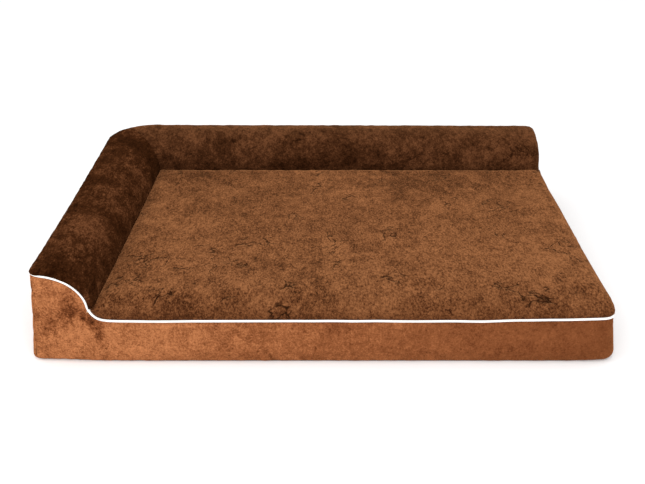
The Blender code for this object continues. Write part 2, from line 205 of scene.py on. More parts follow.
def side_bolster(across, share):
    """across runs from the wall to the crease, and share from the front end to the mitre."""
    run, turn = bolster_run(across, share, side_length)
    fullness = 2 + 0.25 * min(run / side_length, 1)
    rise = 0.005 * min(run / side_length, 1) ** 2
    drawn_in = 0.0034 * min(run / 0.25, 1)
    depth, height = bolster_section(across, run, side_width(run), fullness, rise, drawn_in)
    if turn:
        reach = corner_roll - depth
        centre = back_left[0]
        return Vector((centre.x - reach * math.cos(turn), centre.y + reach * math.sin(turn), height))
    return Vector((*rounded_corner(left + depth, front + run), height))


def back_bolster(across, share):
    """across runs from the wall to the crease, and share from the right end to the mitre."""
    run, turn = bolster_run(across, share, back_length)
    fullness = 2.5 - 0.25 * min(run / back_length, 1)
    rise = 0.003 + 0.002 * min(run / back_length, 1)
    drawn_in = 0.0034 * max((share - 0.91) / 0.09, 0)
    depth, height = bolster_section(across, run, back_width(run), fullness, rise, drawn_in)
    if turn:
        reach = corner_roll - depth
        centre = back_left[0]
        return Vector((centre.x - reach * math.sin(turn), centre.y + reach * math.cos(turn), height))
    return Vector((*rounded_corner(right - run, back - depth), height))


def sleep_surface(across, share):
    """across runs from the side bolster to the right edge, and share from the front to the back bolster."""
    near = from_end(share, side_length)
    beside = from_end(1 - across, back_length)
    crease_x = left + side_width(near)
    crease_y = back - back_width(beside)
    x = right - beside * (right - crease_x) / back_length
    y = front + near * (crease_y - front) / side_length
    from_side, from_back = x - crease_x, crease_y - y
    tail = max(math.exp(-from_side / crease_reach), math.exp(-from_back / crease_reach))
    seam = seam_height + (crease_height - seam_height) * tail
    seam += 0.0045 * max(1 - (right - x) / 0.2, 0) * max(1 - (y - front) / 0.2, 0)
    seam += 0.0009 * noise.noise(Vector((x, y, 0)) * 13)
    from_crease = max(min(from_side, from_back), 0)
    top = crown - (crown - crease_height) * (1 - eased(from_crease, crease_roll))
    front_rise, right_rise = eased(y - front, edge_roll), eased(right - x, right_roll)
    bulge = 0.0085 * (1 - (2 * right_rise - 1) ** 2) * front_rise
    x, y = rounded_corner(x, y)
    return Vector((x + bulge, y, seam + (top - seam) * min(front_rise, right_rise)))


def outward(x, y):
    """The way out of the bed in plan, from a point on its outline."""
    for centre, (east, north) in (front_left, front_right, back_right, back_left):
        out = Vector((x - centre.x, y - centre.y))
        if out.x * east > 0 and out.y * north > 0:
            return Vector((*out.normalized(), 0))
    walls = (
        (x - left, (-1, 0, 0)),
        (right - x, (1, 0, 0)),
        (y - front, (0, -1, 0)),
        (back - y, (0, 1, 0)),
    )
    return Vector(min(walls)[1])


def cloth_grid(columns, rows, place):
    """A grid of cloth squares, each corner put in place from its share along the columns and the rows."""
    bm = bmesh.new()
    bmesh.ops.create_grid(bm, x_segments=columns, y_segments=rows, size=1)
    shares = bm.verts.layers.float_vector.new("shares")
    for vert in bm.verts:
        across, share = (vert.co.x + 1) / 2, (vert.co.y + 1) / 2
        vert[shares] = (across, share, 0)
        vert.co = place(across, share)
    return bm


# Walls. Four lighter plush panels stand round the bed from the bottom seam up to the seam under the tops,
# joined at the corners. The back one is in two parts, above and below the zip.
underside_roll = 0.006
side_share = 0.12


def wall(edge_point, rise):
    """A wall's point under a point of its top seam, at a share of the run up from the bottom seam."""
    out = outward(edge_point.x, edge_point.y)
    from_right_corner = math.hypot(edge_point.x - right, edge_point.y - front)
    from_left_corner = math.hypot(edge_point.x - left, edge_point.y - front)
    roll = underside_roll + 0.009 * math.exp(-(from_right_corner / 0.035) ** 2)
    roll += 0.0035 * math.exp(-(from_left_corner / 0.05) ** 2)
    quarter = roll * math.pi / 2
    run = rise * (quarter + edge_point.z - roll)
    if run < quarter:
        turn = run / roll
        inset, height = roll * (1 - math.sin(turn)), roll * (1 - math.cos(turn))
    else:
        inset, height = 0, roll + run - quarter
    side_flare = flare + 0.003 * (out.x < 0)
    lean = Vector((out.x * side_flare, min(out.y, 0) * flare, 0)) * (1 - height / edge_point.z)
    lean.y *= 1 - 0.6 * math.exp(-(from_left_corner / 0.09) ** 2)
    place = edge_point + lean - inset * out
    place.z = height
    return place


def front_wall(along, rise):
    """along runs from the front-left corner, under the side bolster's end and then under the mattress."""
    if along < side_share:
        return wall(side_bolster(along / side_share, 0), rise)
    return wall(sleep_surface((along - side_share) / (1 - side_share), 0), rise)


def right_wall(along, rise):
    """along runs from the front-right corner, under the mattress and then under the back bolster's end."""
    if along < 1 - side_share:
        return wall(sleep_surface(1, along / (1 - side_share)), rise)
    return wall(back_bolster((1 - along) / side_share, 0), rise)


def left_wall(along, rise):
    return wall(side_bolster(0, along), rise)


def back_wall(along, rise):
    return wall(back_bolster(0, along), rise)


# The back wall is cut at the zip, and the two parts stand this far off its chain between its ends.
zip_low, zip_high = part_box("zip_tape_upper")
slider_low, slider_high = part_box("zip_slider")
zip_height = (slider_low.z + slider_high.z) / 2
zip_opening = slider_high.z - zip_height + 0.0007
zip_end_taper = 0.003


def rise_at(along, height):
    """The share of the back wall's run at a height."""
    bend = underside_roll * (math.pi / 2 - 1)
    return (height + bend) / (back_bolster(0, along).z + bend)


def zip_gap(along):
    x = back_bolster(0, along).x
    return zip_opening * max(0, min(1, (x - zip_low.x) / zip_end_taper, (zip_high.x - x) / zip_end_taper))


def back_upper(along, share):
    low = rise_at(along, zip_height + zip_gap(along))
    return along, low + share * (1 - low)


def back_lower(along, share):
    return along, share * rise_at(along, zip_height - zip_gap(along))


# Filling. The foam is a little too big for its cover, so the cloth stands proud between its seams. Each
# panel is cut as a coarse pattern, the patterns are joined into one closed body held at its seams, and
# pressure from inside swells it. How far each point moved is kept, and each panel is finished with it.
patterns = {
    "sleep": (88, 88, sleep_surface),
    "side": (12, 88, side_bolster),
    "back": (12, 88, back_bolster),
    "front_wall": (100, 14, front_wall),
    "right_wall": (100, 14, right_wall),
    "left_wall": (88, 14, left_wall),
    "back_wall": (88, 14, back_wall),
}
most_swell = 0.0035
filling_steps = 20


def on_zip(point):
    return point.y > back - 0.0005 and abs(point.z - zip_height) < 0.005


def on_mitre(point):
    return abs(point.x - left + point.y - back) < 0.0002 and point.z > crease_height + 0.003


def joined_patterns():
    """The patterns as one closed body, with a layer that marks the seams."""
    body = bmesh.new()
    for columns, rows, place in patterns.values():
        pattern = cloth_grid(columns, rows, place)
        pattern_mesh = bpy.data.meshes.new("pattern")
        pattern.to_mesh(pattern_mesh)
        pattern.free()
        body.from_mesh(pattern_mesh)
        bpy.data.meshes.remove(pattern_mesh)
    pinned = body.verts.layers.int.new("pinned")
    seams = [vert for vert in body.verts if vert.is_boundary]
    for vert in seams:
        vert[pinned] = 0 if on_mitre(vert.co) else 1
    bmesh.ops.remove_doubles(body, verts=seams, dist=0.00005)
    bmesh.ops.holes_fill(body, edges=[edge for edge in body.edges if edge.is_boundary], sides=0)
    bmesh.ops.triangulate(body, faces=[face for face in body.faces if len(face.verts) > 4])
    bmesh.ops.recalc_face_normals(body, faces=body.faces)
    return body, pinned


def swell_body(body, pinned):
    """How far pressure moves each point of the body."""
    rest = [vert.co.copy() for vert in body.verts]
    held = [vert.index for vert in body.verts if vert[pinned] or on_zip(vert.co)]
    mesh = bpy.data.meshes.new("cover_body")
    body.to_mesh(mesh)
    cover = bpy.data.objects.new("cover_body", mesh)
    bpy.context.scene.collection.objects.link(cover)
    cover.vertex_groups.new(name="seams").add(held, 1, "REPLACE")
    cloth = cover.modifiers.new("filling", "CLOTH")
    cloth.settings.quality = 4
    cloth.settings.mass = 0.3
    cloth.settings.tension_stiffness = 12
    cloth.settings.compression_stiffness = 12
    cloth.settings.shear_stiffness = 5
    cloth.settings.bending_stiffness = 0.4
    cloth.settings.shrink_min = -0.005
    cloth.settings.use_pressure = True
    cloth.settings.uniform_pressure_force = 4
    cloth.settings.vertex_group_mass = "seams"
    cloth.settings.effector_weights.gravity = 0
    cloth.point_cache.frame_start = 1
    cloth.point_cache.frame_end = filling_steps
    for step in range(1, filling_steps + 1):
        bpy.context.scene.frame_set(step)
    filled = cover.evaluated_get(bpy.context.evaluated_depsgraph_get()).to_mesh()
    moves = [vert.co - before for vert, before in zip(filled.vertices, rest)]
    bpy.data.objects.remove(cover)
    bpy.context.scene.frame_set(1)
    return [move * min(1, most_swell / max(move.length, 1e-9)) for move in moves]


cover_body, seam_layer = joined_patterns()
cover_body.verts.index_update()
moves = swell_body(cover_body, seam_layer)
finder = KDTree(len(moves))
for number, vert in enumerate(cover_body.verts):
    finder.insert(vert.co, number)
finder.balance()
swell = {}
for name, (columns, rows, place) in patterns.items():
    swell[name] = [
        [moves[finder.find(place(column / columns, row / rows))[1]] for column in range(columns + 1)]
        for row in range(rows + 1)
    ]
for vert, move in zip(cover_body.verts, moves):
    vert.co += move
cover_body.normal_update()


def swelling(name, across, share):
    """How far the filling moves a point of a panel, between the four nearest points of its pattern."""
    columns, rows, _ = patterns[name]
    column, row = min(int(across * columns), columns - 1), min(int(share * rows), rows - 1)
    east, north = across * columns - column, share * rows - row
    lines = swell[name]
    near = lines[row][column].lerp(lines[row][column + 1], east)
    far = lines[row + 1][column].lerp(lines[row + 1][column + 1], east)
    return near.lerp(far, north)


# Foam and liner. The base slab and the bolster rolls are open-cell yellow foam, the top layer a finer
# white memory foam. They fill the liner, a thin grey waterproof bag, and show only with the cover off.
def new_material(name):
    """A material with its shader, its nodes and a function that joins two sockets."""
    made = bpy.data.materials.new(name)
    made.use_nodes = True
    tree = made.node_tree
    return made, tree.nodes["Principled BSDF"], tree.nodes, tree.links.new


def texture(nodes, join, vector, kind, **inputs):
    made = nodes.new(kind)
    join(vector, made.inputs["Vector"])
    for socket, value in inputs.items():
        made.inputs[socket.replace("_", " ")].default_value = value
    return made


def object_point(nodes, join, turn=(0, 0, 0), scale=(1, 1, 1), shift=(0, 0, 0)):
    place = nodes.new("ShaderNodeTexCoord")
    mapping = nodes.new("ShaderNodeMapping")
    mapping.inputs["Location"].default_value = shift
    mapping.inputs["Rotation"].default_value = [math.radians(angle) for angle in turn]
    mapping.inputs["Scale"].default_value = scale
    join(place.outputs["Object"], mapping.inputs["Vector"])
    return mapping.outputs["Vector"]


def colour_steps(nodes, join, value, steps):
    """A ramp from (position, colour) steps."""
    ramp = nodes.new("ShaderNodeValToRGB")
    elements = ramp.color_ramp.elements
    while len(elements) < len(steps):
        elements.new(0.5)
    for element, (position, colour) in zip(elements, steps):
        element.position = position
        element.color = (*colour, 1)
    join(value, ramp.inputs["Fac"])
    return ramp.outputs["Color"]


def sums(nodes, join, operation, first, second, clamp=False):
    """A Math node on two values, each a socket or a number."""
    made = nodes.new("ShaderNodeMath")
    made.operation = operation
    made.use_clamp = clamp
    for socket, value in zip(made.inputs, (first, second)):
        if isinstance(value, bpy.types.NodeSocket):
            join(value, socket)
        else:
            socket.default_value = value
    return made.outputs["Value"]


def blend(nodes, join, first, second, share):
    """Two values mixed, the first counting this share of the whole."""
    more = sums(nodes, join, "MULTIPLY", first, share)
    rest = sums(nodes, join, "MULTIPLY", second, 1 - share)
    return sums(nodes, join, "ADD", more, rest)


def tint(nodes, join, shader, value, steps):
    join(colour_steps(nodes, join, value, steps), shader.inputs["Base Color"])


def bump(nodes, join, shader, layers):
    """Bumps laid one on another, from (height socket, distance in metres, strength)."""
    below = None
    for height, distance, strength in layers:
        made = nodes.new("ShaderNodeBump")
        made.inputs["Distance"].default_value = distance
        made.inputs["Strength"].default_value = strength
        join(height, made.inputs["Height"])
        if below is not None:
            join(below, made.inputs["Normal"])
        below = made.outputs["Normal"]
    join(below, shader.inputs["Normal"])


def foam(name, dark, light, cell):
    """Open-cell foam, its cells this far apart."""
    made, shader, nodes, join = new_material(name)
    point = object_point(nodes, join)
    cells = texture(nodes, join, point, "ShaderNodeTexVoronoi", Scale=1 / cell)
    tone = texture(nodes, join, point, "ShaderNodeTexNoise", Scale=14, Detail=3)
    mixed = sums(nodes, join, "ADD", cells.outputs["Distance"], tone.outputs["Fac"])
    tint(nodes, join, shader, mixed, ((0.35, dark), (0.95, light)))
    shader.inputs["Roughness"].default_value = 0.95
    bump(nodes, join, shader, ((cells.outputs["Distance"], cell / 2, 0.8),))
    return made


foam_inset = 0.0062
liner_inset = 0.0048
liner_thickness = 0.0008
play = 0.0002
base_foam_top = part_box("base_foam")[1].z
side_joint = left + bolster_width
back_joint = back - bolster_width


def inner_piece(name, node, inset, surface, planes):
    """A piece inside the cover, drawn in from it, and cut away in front of each plane."""
    bm = cover_body.copy()
    for vert in bm.verts:
        vert.co -= inset * vert.normal
    for point, normal in planes:
        everything = bm.verts[:] + bm.edges[:] + bm.faces[:]
        cut = bmesh.ops.bisect_plane(
            bm, geom=everything, plane_co=point, plane_no=normal, clear_outer=True
        )
        edges = [item for item in cut["geom_cut"] if isinstance(item, bmesh.types.BMEdge)]
        filled = bmesh.ops.holes_fill(bm, edges=edges, sides=0)
        bmesh.ops.triangulate(bm, faces=filled["faces"])
    mesh = bpy.data.meshes.new(name)
    bm.to_mesh(mesh)
    bm.free()
    mesh.materials.append(surface)
    piece = bpy.data.objects.new(name, mesh)
    bpy.context.scene.collection.objects.link(piece)
    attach(piece, "bed")
    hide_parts(node)
    return piece


base_surface = foam("base_foam", (0.55, 0.4, 0.16), (0.78, 0.64, 0.34), 0.0022)
memory_surface = foam("memory_foam", (0.66, 0.62, 0.5), (0.86, 0.84, 0.76), 0.0012)
over_base = ((0, 0, base_foam_top + 0.0003), (0, 0, -1))
mitre = Vector((left, back, 0))
base = inner_piece(
    "base_foam_slab", "base_foam", foam_inset, base_surface,
    [((0, 0, base_foam_top), (0, 0, 1))],
)
lying_layer = inner_piece(
    "memory_foam_layer", "memory_foam", foam_inset, memory_surface,
    [over_base, ((side_joint + play, 0, 0), (-1, 0, 0)), ((0, back_joint - play, 0), (0, 1, 0))],
)
side_roll = inner_piece(
    "side_bolster_roll", "side_bolster_foam", foam_inset, base_surface,
    [over_base, ((side_joint - play, 0, 0), (1, 0, 0)), (mitre - Vector((play, 0, 0)), (1, 1, 0))],
)
back_roll = inner_piece(
    "back_bolster_roll", "back_bolster_foam", foam_inset, base_surface,
    [over_base, ((0, back_joint + play, 0), (0, -1, 0)), (mitre + Vector((play, 0, 0)), (-1, -1, 0))],
)

liner_film, shader, nodes, join = new_material("liner_film")
point = object_point(nodes, join)
creases = texture(nodes, join, point, "ShaderNodeTexNoise", Scale=38, Detail=5, Distortion=1.4)
greys = ((0.3, (0.36, 0.38, 0.4)), (0.7, (0.6, 0.62, 0.64)))
tint(nodes, join, shader, creases.outputs["Fac"], greys)
shader.inputs["Roughness"].default_value = 0.38
bump(nodes, join, shader, ((creases.outputs["Fac"], 0.004, 0.5),))
liner = inner_piece("liner_bag", "waterproof_liner", liner_inset, liner_film, [])
film = liner.modifiers.new("film", "SOLIDIFY")
film.thickness = liner_thickness
film.offset = -1


# Finishing the cover. Every panel is crushed plush on a knit backing. Its edges are turned in at the
# seams, which pulls small puckers in the cloth beside them, and the nap is crumpled over the faces.
panel_thickness = 0.0022
pucker_reach = 0.012
turned_width = 0.004
lowest_edge = 0.0004


def crumple(point, from_seam):
    """How far the cloth stands out at a point: slow waves, small creases, and puckers beside the seams."""
    slow = 0.0011 * noise.noise(point * 9 + Vector((3, 1, 7)))
    mask = max(noise.noise(point * 13 + Vector((9, 4, 2))) + 0.1, 0)
    stretched = Vector((point.x * 26, point.y * 42, point.z * 42))
    fold = 1 - abs(noise.noise(stretched + Vector((1, 8, 3)))) * 5
    creases = -0.0011 * mask * max(fold, 0) ** 2
    puckers = 0.0008 * noise.noise(point * 70) * math.exp(-(from_seam / pucker_reach) ** 2)
    return (slow + creases) * min(from_seam / pucker_reach, 1) + puckers


def finish_panel(name, node, pattern, squares, size, cloth_material, cut=None):
    """A panel of cloth from a pattern, or from the part of it that cut takes."""
    columns, rows = squares

    def placed(across, share):
        if cut:
            across, share = cut(across, share)
        return patterns[pattern][2](across, share) + swelling(pattern, across, share)

    bm = cloth_grid(columns, rows, placed)
    middle = Vector(((left + right) / 2, (front + back) / 2, 0.03))
    bm.faces.ensure_lookup_table()
    bm.normal_update()
    face = bm.faces[len(bm.faces) // 2 + columns // 2]
    if face.normal.dot(face.calc_center_median() - middle) < 0:
        bmesh.ops.reverse_faces(bm, faces=bm.faces)
    inner = [vert for vert in bm.verts if not vert.is_boundary]
    bmesh.ops.smooth_vert(bm, verts=inner, factor=0.5, use_axis_x=True, use_axis_y=True, use_axis_z=True)
    bm.normal_update()
    shares = bm.verts.layers.float_vector["shares"]
    width, length = size
    for vert in bm.verts:
        across, share, _ = vert[shares]
        from_seam = min(across * width, (1 - across) * width, share * length, (1 - share) * length)
        turned_in = 0.0015 * max(1 - from_seam / turned_width, 0) ** 2 * (0.4 if on_mitre(vert.co) else 1)
        vert.co += vert.normal * (crumple(vert.co, from_seam) - turned_in)
        vert.co.z = max(vert.co.z, lowest_edge)
    mesh = bpy.data.meshes.new(name)
    bm.to_mesh(mesh)
    bm.free()
    mesh.shade_smooth()
    mesh.materials.append(cloth_material)
    panel = bpy.data.objects.new(name, mesh)
    bpy.context.scene.collection.objects.link(panel)
    wall_of_cloth = panel.modifiers.new("thickness", "SOLIDIFY")
    wall_of_cloth.thickness = panel_thickness
    wall_of_cloth.offset = -1
    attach(panel, "bed")
    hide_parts(node)


def plush(name, dark, middle, light, shift=(0, 0, 0), creases=1.0, contrast=1.0, lean=(0, 0, 0),
          about=(0, 0, 0), livelier=(0, 0, 0), grain=0.5, sheen=0.5, marks=()):
    """Crushed plush: patches of nap lying one way or the other, curls and fine pile, and sharp creases
    that dent the bump and are darkened with painted shade.

    lean and livelier are how much the tone and its contrast grow per metre each way from the point about.
    A lean up the height paints the tops lighter and the faces lower down darker: painted light and shade.
    Each mark is a place where the tone is lighter or darker: its middle, its radius and its change.
    Most are nap pressed or brushed; a few are painted shade where the cloth turns away from the light.
    """
    made, shader, nodes, join = new_material(name)
    plain = object_point(nodes, join, shift=shift)
    strewn = object_point(nodes, join, scale=(1, 0.75, 1), shift=shift)
    combed = object_point(nodes, join, scale=(1, 0.5, 1.1), shift=shift)

    def noise_layer(point, scale, detail, roughness, distortion=0.0):
        made = texture(
            nodes, join, point, "ShaderNodeTexNoise",
            Scale=scale, Detail=detail, Roughness=roughness, Distortion=distortion,
        )
        return made.outputs["Fac"]

    def weigh(value, weight):
        return sums(nodes, join, "MULTIPLY", value, weight)

    def add(first, second):
        return sums(nodes, join, "ADD", first, second)

    def less(first, second):
        return sums(nodes, join, "SUBTRACT", first, second)

    def step(value, low, high):
        """0 at low, 1 at high, straight between and level beyond."""
        return sums(nodes, join, "MULTIPLY", less(value, low), 1 / (high - low), clamp=True)

    def across_panel(slope):
        made = nodes.new("ShaderNodeVectorMath")
        made.operation = "DOT_PRODUCT"
        join(object_point(nodes, join, shift=[-value for value in about]), made.inputs[0])
        made.inputs[1].default_value = slope
        return made.outputs["Value"]

    patches = noise_layer(plain, 8, 3, 0.5, 0.6)
    strokes = noise_layer(strewn, 30, 5, 0.66, 0.3)
    curls = noise_layer(combed, 105, 3, 0.7, 0.3)
    pile = noise_layer(combed, 330, 2, 0.9)
    lines = noise_layer(plain, 22, 3, 0.5, 0.5)
    where = noise_layer(plain, 15, 2, 0.5)
    laid = step(noise_layer(strewn, 17, 4, 0.65, 0.7), 0.5, 0.55)
    tone = weigh(less(laid, 0.5), 0.026)
    for layer, weight in ((patches, 0.16), (strokes, 0.26), (curls, 0.28), (pile, grain)):
        tone = add(tone, weigh(less(layer, 0.5), weight))
    life = add(across_panel(livelier), 1)
    # The lean is added to the tone here: up the height it is painted light on the tops and painted shade
    # below.
    tone = add(weigh(tone, life), add(across_panel(lean), 0.5))
    for place, radius, change in marks:
        away = nodes.new("ShaderNodeVectorMath")
        away.operation = "LENGTH"
        join(object_point(nodes, join, shift=[-value for value in place]), away.inputs[0])
        ragged = add(away.outputs["Value"], weigh(less(strokes, 0.5), 3 * radius))
        tone = add(tone, weigh(step(ragged, radius, 0.3 * radius), change))
    # Crease lines: the tone is darkened along them, painted shade in the nap's partings, and the bump dents
    # them.
    line = less(1, weigh(sums(nodes, join, "ABSOLUTE", less(lines, 0.5), 0), 42))
    spots = step(curls, 0.60, 0.66)
    few = step(where, 0.56, 0.62)
    marked = sums(nodes, join, "MAXIMUM", line, weigh(spots, 0.6))
    crease = sums(nodes, join, "MULTIPLY", marked, few, clamp=True)
    tone = less(tone, weigh(weigh(crease, life), 0.24 * creases))
    half = 0.11 / contrast
    steps = (
        (0.5 - 2 * half, [value * 0.3 for value in dark]),
        (0.5 - half, dark),
        (0.5, middle),
        (0.5 + half, light),
        (0.5 + 2 * half, [value * 1.3 for value in light]),
    )
    tint(nodes, join, shader, tone, steps)
    shader.inputs["Roughness"].default_value = 0.9
    shader.inputs["Specular IOR Level"].default_value = 0
    shader.inputs["Sheen Weight"].default_value = sheen
    shader.inputs["Sheen Roughness"].default_value = 0.4
    shader.inputs["Sheen Tint"].default_value = (0.62, 0.27, 0.11, 1)
    bump(nodes, join, shader, (
        (strokes, 0.005, 0.3),
        (curls, 0.003, 0.5),
        (pile, 0.0016, 0.8),
        (weigh(crease, -1), 0.002, 0.8 * creases),
    ))
    return made


# Top plush. Its lean darkens the tone below the crown: painted shade on the front roll and in the dip at
# the bolster crease, and a little darker towards the back.
top_plush = plush(
    "top_plush", (0.063, 0.0205, 0.0072), (0.142, 0.0515, 0.0188), (0.222, 0.087, 0.033),
    contrast=1.4, lean=(0, -0.07, 2.6), about=(0, 0, crown + 0.003), livelier=(0, 0, 18), grain=0.65,
    marks=(
        ((-0.28, -0.26, crown), 0.045, -0.022), ((-0.18, -0.20, crown), 0.055, -0.03),
        ((0.07, -0.14, crown), 0.07, -0.035), ((-0.02, -0.31, crown), 0.05, -0.03),
        ((-0.07, -0.22, crown), 0.035, -0.035), ((0.20, 0.16, crown), 0.13, -0.035),
        ((-0.30, 0.20, crown), 0.07, -0.03), ((-0.27, -0.34, crown), 0.09, -0.028),
        ((0.30, -0.15, crown), 0.11, 0.02), ((-0.26, -0.13, crown), 0.06, 0.025),
        ((0.1, 0.05, crown), 0.07, 0.02), ((-0.10, -0.29, crown), 0.06, 0.03),
    ),
)
# Bolster plush: darker than the top plush, partly nap laid another way and partly painted shade where the
# bolsters face away from the light. Its lean paints the tops lighter and the faces lower down darker:
# painted light and shade.
bolster_plush = plush(
    "bolster_plush", (0.022, 0.0070, 0.0024), (0.052, 0.0180, 0.0066), (0.115, 0.043, 0.017),
    shift=(0.7, 0.2, 0.1), creases=0.4, contrast=1.3, lean=(0.02, 0, 0.9), about=(0, 0, 0.135),
    grain=0.35, sheen=0.35,
    marks=(
        ((0.06, 0.32, 0.145), 0.05, -0.03), ((-0.31, 0.30, 0.14), 0.05, 0.02),
        ((0.43, 0.30, 0.145), 0.04, 0.02),
    ),
)
# Side plush: darker again, partly nap laid another way and partly painted shade. Its lean paints the top a
# little lighter, painted light, and the tone a little darker towards the back. The mark at (-0.40, -0.35)
# darkens the front end where it turns down to the piping and into the corner: painted shade.
side_plush = plush(
    "side_plush", (0.017, 0.0048, 0.0014), (0.042, 0.0132, 0.0042), (0.135, 0.049, 0.019),
    shift=(2.7, 1.2, 0.6), creases=0.35, contrast=0.95, lean=(0, -0.03, 0.2), about=(0, -0.1, 0.14),
    grain=0.4, sheen=0.05,
    marks=(
        ((-0.41, -0.17, 0.15), 0.055, 0.07), ((-0.42, -0.28, 0.15), 0.03, 0.05),
        ((-0.40, -0.35, 0.13), 0.09, -0.07), ((-0.38, 0.22, 0.14), 0.09, -0.03),
        ((-0.37, -0.05, 0.13), 0.05, 0.04), ((-0.43, 0.02, 0.15), 0.06, -0.03),
    ),
)
# Wall plush. The marks at (-0.445, 0.090) and (-0.447, 0.072) darken the left end of the front wall where
# it turns round the corner: painted shade. The other marks are pressed or brushed nap.
wall_plush = plush(
    "wall_plush", (0.115, 0.033, 0.0108), (0.235, 0.078, 0.028), (0.385, 0.144, 0.056),
    shift=(0.3, 1.2, 0.5), creases=0.3, contrast=0.85, lean=(-0.17, 0, 0), about=(-0.05, 0, 0),
    livelier=(-1.15, 0, 0), sheen=0.4,
    marks=(
        ((-0.445, front, 0.090), 0.065, -0.045), ((-0.432, front, 0.120), 0.03, 0.06),
        ((-0.447, front, 0.072), 0.028, -0.09), ((-0.397, front, 0.100), 0.02, -0.09),
        ((-0.382, front, 0.088), 0.014, -0.13), ((-0.373, front, 0.073), 0.013, -0.14),
        ((-0.364, front, 0.058), 0.013, -0.14), ((-0.355, front, 0.043), 0.013, -0.14),
        ((-0.346, front, 0.028), 0.013, -0.13), ((-0.407, front, 0.024), 0.010, -0.12),
        ((-0.420, front, 0.045), 0.03, 0.03), ((-0.26, front, 0.04), 0.08, 0.03),
    ),
)

finish_panel(
    "sleep_panel_cloth", "sleep_panel", "sleep", (246, 186), (0.82, 0.61), top_plush
)
finish_panel(
    "side_bolster_cloth", "side_bolster_panel", "side", (44, 220), (0.13, 0.7), side_plush
)
finish_panel(
    "back_bolster_cloth", "back_bolster_panel", "back", (44, 280), (0.13, 0.9), bolster_plush
)
finish_panel(
    "front_wall_cloth", "front_panel", "front_wall", (300, 28), (0.95, 0.08), wall_plush
)
finish_panel(
    "right_wall_cloth", "right_panel", "right_wall", (240, 28), (0.75, 0.08), wall_plush
)
finish_panel(
    "left_wall_cloth", "left_panel", "left_wall", (200, 48), (0.68, 0.155), wall_plush
)
finish_panel(
    "back_wall_upper_cloth", "back_panel_upper", "back_wall", (280, 38), (0.88, 0.12),
    wall_plush, cut=back_upper,
)
finish_panel(
    "back_wall_lower_cloth", "back_panel_lower", "back_wall", (280, 12), (0.88, 0.03),
    wall_plush, cut=back_lower,
)


# Piping. A white cotton cord in a bias-cut sleeve, caught in the seam from the side bolster's front end,
# along the front, round the corner, along the right side and up the back bolster's end.
piping_proud = 0.0014
tucked_end = 0.003
route = [side_bolster(step / 48, 0) for step in range(48)]
route += [sleep_surface(step / 240, 0) for step in range(240)]
route += [sleep_surface(1, step / 180) for step in range(180)]
route += [back_bolster(1 - step / 48, 0) for step in range(49)]
piping_curve = bpy.data.curves.new("piping_cord", "CURVE")
piping_curve.dimensions = "3D"
piping_curve.bevel_depth = 0.0018
piping_curve.bevel_resolution = 4
piping_curve.use_fill_caps = True
for _ in range(6):
    threes = zip(route, route[1:], route[2:])
    route[1:-1] = [(before + 2 * place + after) / 4 for before, place, after in threes]
line = piping_curve.splines.new("POLY")
line.points.add(len(route) - 1)
for number, (point, place) in enumerate(zip(line.points, route)):
    out = outward(place.x, place.y)
    end = min(number, len(route) - 1 - number)
    proud = piping_proud * (1 - 0.8 * max(out.x, 0)) - tucked_end * max(1 - end / 6, 0)
    wave = Vector((0, 0, 0.0006 * noise.noise(place * 22)))
    point.co = (*(place + proud * out + wave), 1)
piping_source = bpy.data.objects.new("piping_source", piping_curve)
bpy.context.scene.collection.objects.link(piping_source)
evaluated = piping_source.evaluated_get(bpy.context.evaluated_depsgraph_get())
piping_mesh = bpy.data.meshes.new_from_object(evaluated)
bpy.data.objects.remove(piping_source)
piping_mesh.name = "piping_cord"
piping_mesh.shade_smooth()
white_cotton, shader, nodes, join = new_material("white_cotton")
point = object_point(nodes, join, (0, 0, 45))
tone = texture(nodes, join, point, "ShaderNodeTexNoise", Scale=60, Detail=3)
weave = texture(nodes, join, point, "ShaderNodeTexNoise", Scale=1500, Detail=1)
both = blend(nodes, join, tone.outputs["Fac"], weave.outputs["Fac"], 0.7)
tint(nodes, join, shader, both, ((0.35, (0.8, 0.79, 0.76)), (0.65, (0.95, 0.945, 0.93))))
shader.inputs["Roughness"].default_value = 0.75
bump(nodes, join, shader, ((weave.outputs["Fac"], 0.0003, 0.5), (tone.outputs["Fac"], 0.002, 0.2)))
piping_mesh.materials.clear()
piping_mesh.materials.append(white_cotton)
piping = bpy.data.objects.new("piping_cord", piping_mesh)
bpy.context.scene.collection.objects.link(piping)
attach(piping, "bed")
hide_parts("piping")


# Underside. A dark woven sheet sewn to the walls' bottom edges, with rows of small rubbery dots moulded on
# it that keep the bed from sliding on a smooth floor.
dot_height = 0.0006
dot_pitch = 0.016
dot_margin = 0.02
sheet_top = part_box("bottom_panel")[1].z
around = [front_wall(step / 240, 0) for step in range(240)]
around += [right_wall(step / 180, 0) for step in range(180)]
around += [back_wall(step / 220, 0) for step in range(220)]
around += [left_wall(1 - step / 180, 0) for step in range(180)]
sheet_bm = bmesh.new()
edge = [sheet_bm.verts.new((place.x, place.y, dot_height)) for place in around]
sheet_face = sheet_bm.faces.new(edge)
bmesh.ops.inset_region(sheet_bm, faces=[sheet_face], thickness=0.004, depth=0)
grown = bmesh.ops.extrude_face_region(sheet_bm, geom=sheet_bm.faces[:])
top_verts = [item for item in grown["geom"] if isinstance(item, bmesh.types.BMVert)]
bmesh.ops.translate(sheet_bm, verts=top_verts, vec=(0, 0, sheet_top - dot_height))
bmesh.ops.triangulate(sheet_bm, faces=[face for face in sheet_bm.faces if len(face.verts) > 4])
bmesh.ops.recalc_face_normals(sheet_bm, faces=sheet_bm.faces)
sheet_mesh = bpy.data.meshes.new("underside_sheet")
sheet_bm.to_mesh(sheet_mesh)
sheet_bm.free()
woven_dark, shader, nodes, join = new_material("woven_underside")
point = object_point(nodes, join, (0, 0, 45))
threads = texture(nodes, join, point, "ShaderNodeTexNoise", Scale=900, Detail=1)
